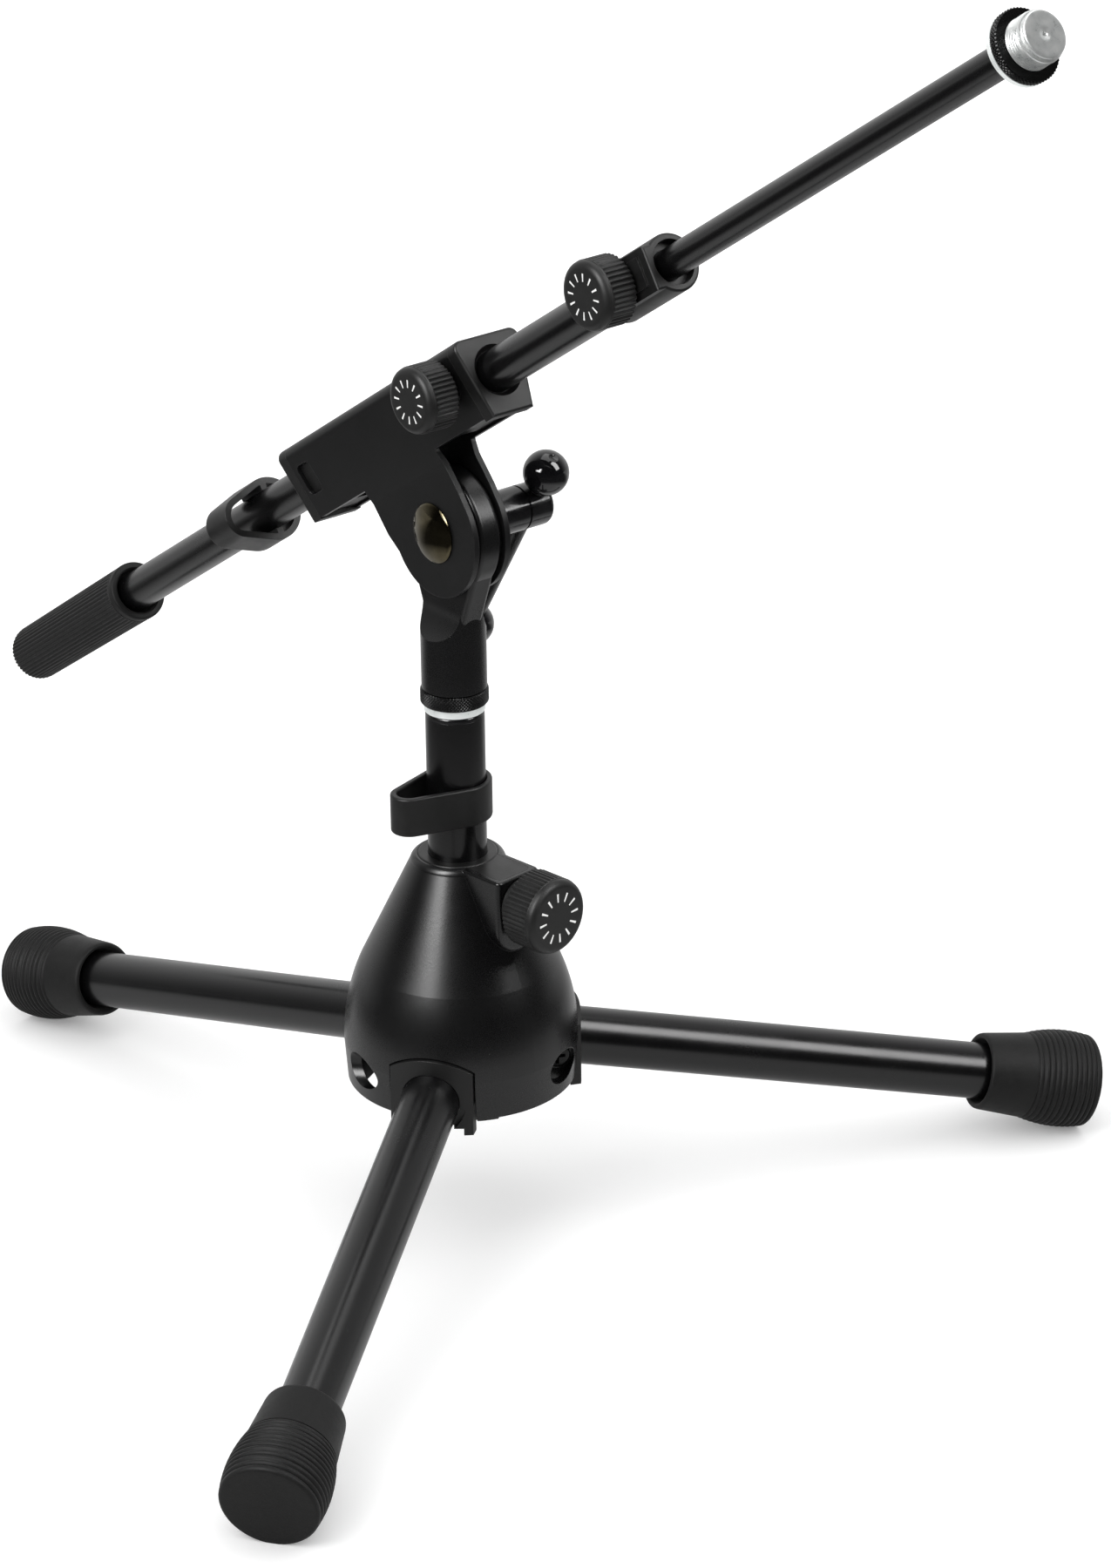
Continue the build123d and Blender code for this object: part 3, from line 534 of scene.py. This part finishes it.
def grip():
    """Ribbed grip on the boom's tail: ribs run over the rounded end, a smooth collar at the mouth."""
    low, high, widest = extent("boom_grip", BOOM_PLACE)
    tube = extent("boom_outer_tube", BOOM_PLACE)[2]
    collar = high - 3.4 * MM
    tail = low + 4.5 * MM
    outline = joined(
        [(0, low), (5.6 * MM, low)],
        arc((widest - 4.9 * MM, low + 4.4 * MM), 4.4 * MM, -90, 0, 10),
        straight((widest - 0.5 * MM, tail), (widest - 0.05 * MM, collar - 0.8 * MM), 12),
        straight((widest - 0.05 * MM, collar - 0.8 * MM), (widest - 0.05 * MM, collar), 4),
        [(widest - 0.25 * MM, collar + 0.15 * MM), (widest - 0.25 * MM, collar + 0.5 * MM)],
        [(widest, collar + 0.7 * MM)],
        arc((widest - 0.8 * MM, high - 0.8 * MM), 0.8 * MM, 0, 90, 6),
        arc((tube + 1.9 * MM, high - 0.5 * MM), 0.5 * MM, 90, 180, 4),
        [(tube + 1.2 * MM, high - 3.2 * MM), (tube + 0.05 * MM, high - 4.5 * MM), (0, high - 4.5 * MM)],
    )

    def relief(angle, distance, height):
        if distance < 6 * MM or height > collar:
            return distance
        fade = ramp(distance, 6.2 * MM, 8.5 * MM) * (1 - ramp(height, collar - 0.8 * MM, collar))
        return distance - 0.42 * MM * fade * ribs(angle, 44, 1.3)

    piece = turned("boom_grip_rubber", BOOM_PLACE, outline, 44 * 10, relief, 50)
    put_on(piece, "boom_grip", MATERIALS["rubber_black"])


# --- knurled rings, threaded stud --------------------------------------------
def knurled_ring(node, place, bore, count):
    """Thin lock ring with a diamond knurl between two small chamfers."""
    low, high, radius = extent(node, place)
    chamfer = 0.45 * MM
    pitch = 2 * math.pi * radius / count
    rows = max(8, round((high - low) / pitch * 8))
    outline = joined(
        [(bore, high), (bore, low)],
        [(radius - chamfer, low), (radius - 0.06 * MM, low + chamfer)],
        straight((radius, low + chamfer), (radius, high - chamfer), rows),
        [(radius - 0.06 * MM, high - chamfer), (radius - chamfer, high)],
    )

    def relief(angle, distance, height):
        if not low + chamfer * 0.9 < height < high - chamfer * 0.9 or distance < radius - 0.2 * MM:
            return distance
        around = count * angle / (2 * math.pi)
        across = (height - low) / pitch
        right = abs(math.sin(math.pi * (around + across)))
        left = abs(math.sin(math.pi * (around - across)))
        return distance - 0.38 * MM * (1 - min(right, left)) ** 1.3

    piece = turned(node + "_knurl", place, outline, count * 8, relief, 50)
    return put_on(piece, node, MATERIALS["ring_black"])


def stud():
    """Microphone stud: helical thread, plain crown behind an undercut, domed end with a dimple."""
    node = "tip_stud"
    low, high, _ = extent(node, BOOM_PLACE)
    radius = next(mount["dims"]["r_mm"] for mount in frame["record"]["mounts"] if mount["name"] == node) * MM
    ring_high = extent("tip_lock_ring", BOOM_PLACE)[1]
    flange = extent("tip_washer", BOOM_PLACE)[0]
    inner = extent("inner_guide_plug", BOOM_PLACE)[2] - 2.0 * MM
    neck = radius - 0.36 * MM
    pitch = 25.4 * MM / 27
    thread_start, thread_end = ring_high + 0.25 * MM, high - 2.9 * MM
    crown = high - 1.75 * MM
    outline = joined(
        [(0, low), (inner, low), (inner, flange - 1.1 * MM), (8.8 * MM, flange - 1.05 * MM)],
        [(8.8 * MM, flange - 0.05 * MM), (neck, flange - 0.05 * MM), (neck, thread_start)],
        straight((radius, thread_start), (radius, thread_end), 48),
        [(radius - 0.15 * MM, thread_end + 0.1 * MM), (radius - 0.1 * MM, crown - 0.35 * MM)],
        [(radius - 0.25 * MM, crown - 0.2 * MM), (radius - 1.1 * MM, crown - 0.15 * MM)],
        [(radius - 1.1 * MM, crown + 0.15 * MM)],
        arc((radius - 1.35 * MM, high - 0.75 * MM), 0.7 * MM, -20, 80, 7),
        straight((radius - 1.7 * MM, high - 0.04 * MM), (1.75 * MM, high), 5),
        [(1.55 * MM, high - 0.14 * MM), (1.0 * MM, high - 0.22 * MM), (0.8 * MM, high - 0.35 * MM)],
        [(0.6 * MM, high - 1.0 * MM), (0, high - 1.05 * MM)],
    )

    def relief(angle, distance, height):
        if not thread_start <= height <= thread_end or distance < radius - 0.01 * MM:
            return distance
        turn = (height - thread_start) / pitch - angle / (2 * math.pi)
        flank = abs(2 * (turn % 1) - 1)
        fade = ramp(height, thread_start, thread_start + 0.3 * MM) * (1 - ramp(height, thread_end - 0.5 * MM, thread_end))
        return distance - 0.55 * MM * min(1, 1.3 * flank) * fade

    piece = turned("tip_stud_thread", BOOM_PLACE, outline, 96, relief, 45)
    return put_on(piece, node, STUD_ZINC)


# --- cable clip on the rod ---------------------------------------------------
def wrapped(big, small, distance, steps=40):
    """Closed outline of a taut line around two circles; the small one lies at -distance on Y."""
    lean = math.degrees(math.asin((big - small) / distance))
    around_big = arc((0, 0), big, -lean, 180 + lean, steps)
    around_small = arc((0, -distance), small, 180 + lean, 360 - lean, steps // 2)
    return around_big + around_small


def strap(name, place, outer, inner, low, high, edge):
    """Band between two outlines of equal length, with rounded edges."""
    count = len(outer)
    rows = (
        [(x, y, low) for x, y in outer] + [(x, y, high) for x, y in outer]
        + [(x, y, high) for x, y in inner] + [(x, y, low) for x, y in inner]
    )
    faces = []
    for row in range(4):
        here, above = row * count, (row + 1) % 4 * count
        for step in range(count):
            after = (step + 1) % count
            faces.append((here + step, here + after, above + after, above + step))
    piece = new_piece(name, rows, faces, place, 40)
    rounding = piece.modifiers.new("rounded_edges", "BEVEL")
    rounding.width = edge
    rounding.segments = 3
    rounding.limit_method = "ANGLE"
    rounding.angle_limit = math.radians(60)
    rounding.harden_normals = True
    return piece


def rod_clip():
    """Cable clip on the rod: round the rod, then drawn out to a loop on the near side."""
    rod = extent("rod_tube", axis_place((0, 0, 0), (0, 0, 1)))[2]
    low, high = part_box("rod_cable_clip")
    big = high.y
    small = 6.4 * MM
    distance = -low.y - small
    place = axis_place((0, 0, 0), (0, 0, 1), (1, 0, 0))
    outer = wrapped(big, small, distance)
    inner = wrapped(rod + 0.06 * MM, small - 2.3 * MM, distance)
    piece = strap("rod_cable_clip_band", place, outer, inner, low.z, high.z, 0.7 * MM)
    put_on(piece, "rod_cable_clip", MATERIALS["plastic_black"])


# --- bolt head and balls -----------------------------------------------------
def bolt():
    """Carriage bolt: shallow polished dome with a rounded rim, plain shank behind."""
    place = axis_place(PIVOT, (0, -1, 0))
    low, high, radius = extent("pivot_bolt", place)
    shank = 4.0 * MM
    seat = high - 2.75 * MM
    dome = 25 * MM
    rise = dome - math.sqrt(dome**2 - radius**2)
    half = math.degrees(math.asin((radius - 0.35 * MM) / dome))
    outline = joined(
        [(0, low), (shank - 0.4 * MM, low), (shank, low + 0.4 * MM)],
        [(shank, seat), (radius - 0.3 * MM, seat)],
        arc((radius - 0.35 * MM, seat + 0.35 * MM), 0.35 * MM, -80, 0, 4),
        [(radius, high - rise - 0.25 * MM)],
        arc((0, high - dome), dome, 90 - half, 90, 16),
    )
    piece = turned("pivot_bolt_head", place, outline, 96, None, 40)
    put_on(piece, "pivot_bolt", MATERIALS["nickel"])


def balls():
    """The two balls of the T-bar, each with the small moulding dimple on its outer end."""
    bar_axis = Vector(JOINTS["t_bar_slide"]["axis"]).normalized()
    centre = middle("lever_bar")
    place = axis_place(centre, bar_axis)
    low, high, radius = extent("lever_balls", place)
    bar_radius = extent("lever_bar", place)[2]
    dimple = 1.7 * MM
    start = math.degrees(math.acos(dimple / radius))
    mouth = math.degrees(math.acos((bar_radius + 0.25 * MM) / radius))
    outline = joined(
        [(0, -radius + 0.45 * MM), (bar_radius + 0.02 * MM, -radius * math.sin(math.radians(mouth)) + 0.1 * MM)],
        arc((0, 0), radius, -mouth, start, 44),
        [(dimple * 0.8, radius * 0.965), (dimple * 0.45, radius * 0.945), (0, radius * 0.94)],
    )
    upper = turned("lever_ball_upper", axis_place(centre + bar_axis * (high - radius), bar_axis), outline, 96)
    lower = turned("lever_ball_lower", axis_place(centre + bar_axis * (low + radius), -bar_axis), outline, 96)
    for piece in (upper, lower):
        put_on(piece, "lever_balls", MATERIALS["ball_plastic"])


# --- studio ------------------------------------------------------------------
def floor():
    """Large plain pale floor. For the camera it glows a little, painted light that lifts the shadows near the
    stand and grows far off, as a lit sweep does, and reflections alone see it painted darker, its front half going
    black further out, as if the white table ended there."""
    size = 12.0
    mesh = bpy.data.meshes.new("studio_floor")
    corners = [(-size, -size, 0), (size, -size, 0), (size, size, 0), (-size, size, 0)]
    mesh.from_pydata(corners, [], [(0, 1, 2, 3)])
    plane = bpy.data.objects.new("studio_floor", mesh)
    bpy.context.scene.collection.objects.link(plane)
    finish = Finish("pale_floor", roughness=0.8, specular=0.0)
    tone = finish.noise(0.4, 2.0)
    nodes = finish.nodes
    place = nodes.new("ShaderNodeNewGeometry").outputs["Position"]
    path = nodes.new("ShaderNodeLightPath")
    away = nodes.new("ShaderNodeVectorMath")
    away.operation = "DOT_PRODUCT"
    away.inputs[1].default_value = toward(CAMERA_AZIMUTH + 180, 0, 1.0)
    finish.link(place, away.inputs[0])
    reach = nodes.new("ShaderNodeVectorMath")
    reach.operation = "LENGTH"
    finish.link(place, reach.inputs[0])
    # painted light: camera rays see the floor glow, a little near the stand, lifting its shadows, and more further
    # off
    glow = finish.spread(reach.outputs["Value"], 0.17, 0.6, 0.45, 1.6)
    finish.set("Emission Color", (1, 1, 1, 1))
    finish.link(finish.maths("MULTIPLY", glow, path.outputs["Is Camera Ray"]), finish.shader.inputs["Emission Strength"])
    pale = finish.done(finish.mix(finish.spread(tone, 0, 1), (0.90, 0.90, 0.90), (0.92, 0.92, 0.92)))
    # painted shade: glossy rays see the floor mixed towards black, more on the camera side and further out
    reflection_shade_by_reach = finish.spread(reach.outputs["Value"], 0.22, 0.95, 0.26, 0.46)
    front = finish.spread(away.outputs["Value"], 1, 0.25, 0.18, 0.50)
    dark = finish.maths("MULTIPLY", finish.maths("MULTIPLY", reflection_shade_by_reach, front), path.outputs["Is Glossy Ray"])
    black = nodes.new("ShaderNodeBsdfDiffuse")
    black.inputs["Color"].default_value = (0.01, 0.01, 0.01, 1)
    both = nodes.new("ShaderNodeMixShader")
    finish.link(dark, both.inputs["Fac"])
    finish.link(finish.shader.outputs[0], both.inputs[1])
    finish.link(black.outputs[0], both.inputs[2])
    finish.link(both.outputs[0], nodes["Material Output"].inputs["Surface"])
    mesh.materials.append(pale)


def toward(azimuth, elevation, distance):
    """Point seen from the stand's middle in the given direction, degrees."""
    across = math.cos(math.radians(elevation)) * distance
    turn = math.radians(azimuth)
    return Vector((across * math.cos(turn), across * math.sin(turn), math.sin(math.radians(elevation)) * distance))


def softbox(name, azimuth, elevation, distance, width, height, watts, mirrored=True):
    """Area light that faces the stand: one that only shows in gloss, or one that only lights."""
    light = bpy.data.lights.new(name, "AREA")
    light.shape = "RECTANGLE"
    light.size = width
    light.size_y = height
    light.energy = watts
    lamp = bpy.data.objects.new(name, light)
    target = Vector((0, 0, 0.18))
    lamp.visible_glossy = mirrored
    lamp.visible_diffuse = not mirrored
    lamp.location = target + toward(azimuth, elevation, distance)
    lamp.rotation_euler = (target - lamp.location).to_track_quat("-Z", "Y").to_euler()
    bpy.context.scene.collection.objects.link(lamp)
    return lamp


def shade_from(lamp, pieces):
    """Keep one lamp off a few pieces, as a flag set between them would."""
    flagged = bpy.data.collections.new(lamp.name + "_flag")
    for piece in pieces:
        flagged.objects.link(piece)
    lamp.light_linking.receiver_collection = flagged
    for entry in flagged.collection_objects:
        entry.light_linking.link_state = "EXCLUDE"


def surroundings():
    """White sweep: seen white, lights the floor evenly, and is darker behind the camera in reflections."""
    world = bpy.data.worlds.new("studio")
    bpy.context.scene.world = world
    world.use_nodes = True
    nodes, links = world.node_tree.nodes, world.node_tree.links
    background = nodes["Background"]
    path = nodes.new("ShaderNodeLightPath")
    coordinates = nodes.new("ShaderNodeTexCoord")
    away = nodes.new("ShaderNodeVectorMath")
    away.operation = "DOT_PRODUCT"
    away.inputs[1].default_value = toward(CAMERA_AZIMUTH + 180, 0, 1.0)
    links.new(coordinates.outputs["Generated"], away.inputs[0])
    sweep = nodes.new("ShaderNodeMapRange")
    sweep.interpolation_type = "SMOOTHSTEP"
    for name, number in (("From Min", -0.10), ("From Max", 0.85), ("To Min", 0.03), ("To Max", 1.0)):
        sweep.inputs[name].default_value = number
    links.new(away.outputs["Value"], sweep.inputs["Value"])
    seen = nodes.new("ShaderNodeMix")
    seen.inputs[2].default_value = WORLD_LIGHT
    links.new(path.outputs["Is Glossy Ray"], seen.inputs["Factor"])
    links.new(sweep.outputs["Result"], seen.inputs[3])
    plain = nodes.new("ShaderNodeMix")
    links.new(path.outputs["Is Camera Ray"], plain.inputs["Factor"])
    links.new(seen.outputs[0], plain.inputs[2])
    plain.inputs[3].default_value = 1.0
    background.inputs["Color"].default_value = (1, 1, 1, 1)
    links.new(plain.outputs[0], background.inputs["Strength"])


CAMERA_PLACE = Vector((1.2842, -0.9920, 0.8797))
CAMERA_AZIMUTH = -37.68
CAMERA_HEADING = 141.14
CAMERA_PITCH = -23.91
CAMERA_ROLL = -0.70
CAMERA_LENS = 121.29
WORLD_LIGHT = 0.95


def camera():
    """Long lens at the height of a person looking down on the stand."""
    data = bpy.data.cameras.new("camera")
    data.lens = CAMERA_LENS
    data.sensor_width = 36
    data.clip_start = 0.05
    eye = bpy.data.objects.new("camera", data)
    forward = toward(CAMERA_HEADING, CAMERA_PITCH, 1.0)
    level = toward(CAMERA_HEADING - 90, 0, 1.0)
    up = level.cross(forward)
    roll = math.radians(CAMERA_ROLL)
    right = level * math.cos(roll) + up * math.sin(roll)
    up = up * math.cos(roll) - level * math.sin(roll)
    place = Matrix((right, up, -forward)).transposed().to_4x4()
    place.translation = CAMERA_PLACE
    eye.matrix_world = place
    bpy.context.scene.collection.objects.link(eye)
    bpy.context.scene.camera = eye


# --- build -------------------------------------------------------------------
dress_cad_nodes()
knob("base_knob", "base_knob_turn", 48, 0.45 * MM)
knob("bracket_knob", "bracket_knob_turn", 40, 0.55 * MM)
knob("sleeve_knob", "sleeve_knob_turn", 40, 0.55 * MM)
for side in ("front", "right", "left"):
    foot(side)
grip()
vertical = axis_place((0, 0, 0), (0, 0, 1))
knurled_ring("rod_lock_ring", vertical, 4.85 * MM, 62)
tip_ring = knurled_ring("tip_lock_ring", BOOM_PLACE, 7.65 * MM, 56)
tip_thread = stud()
rod_clip()
bolt()
balls()
floor()
softbox("key_gloss", -80, 40, 1.9, 0.70, 1.2, 46)
softbox("key_spill", -84, 38, 2.1, 1.4, 1.4, 20)
shade_from(softbox("side_gloss", 30, 42, 2.0, 0.75, 1.4, 34), (tip_ring, tip_thread))
softbox("top_gloss", 110, 76, 1.8, 1.3, 1.3, 9)
softbox("key_light", -80, 44, 1.9, 0.9, 1.3, 10, mirrored=False)
softbox("top_light", 60, 70, 1.8, 1.6, 1.6, 8, mirrored=False)
surroundings()
camera()
bpy.context.scene.view_settings.view_transform = "Standard"
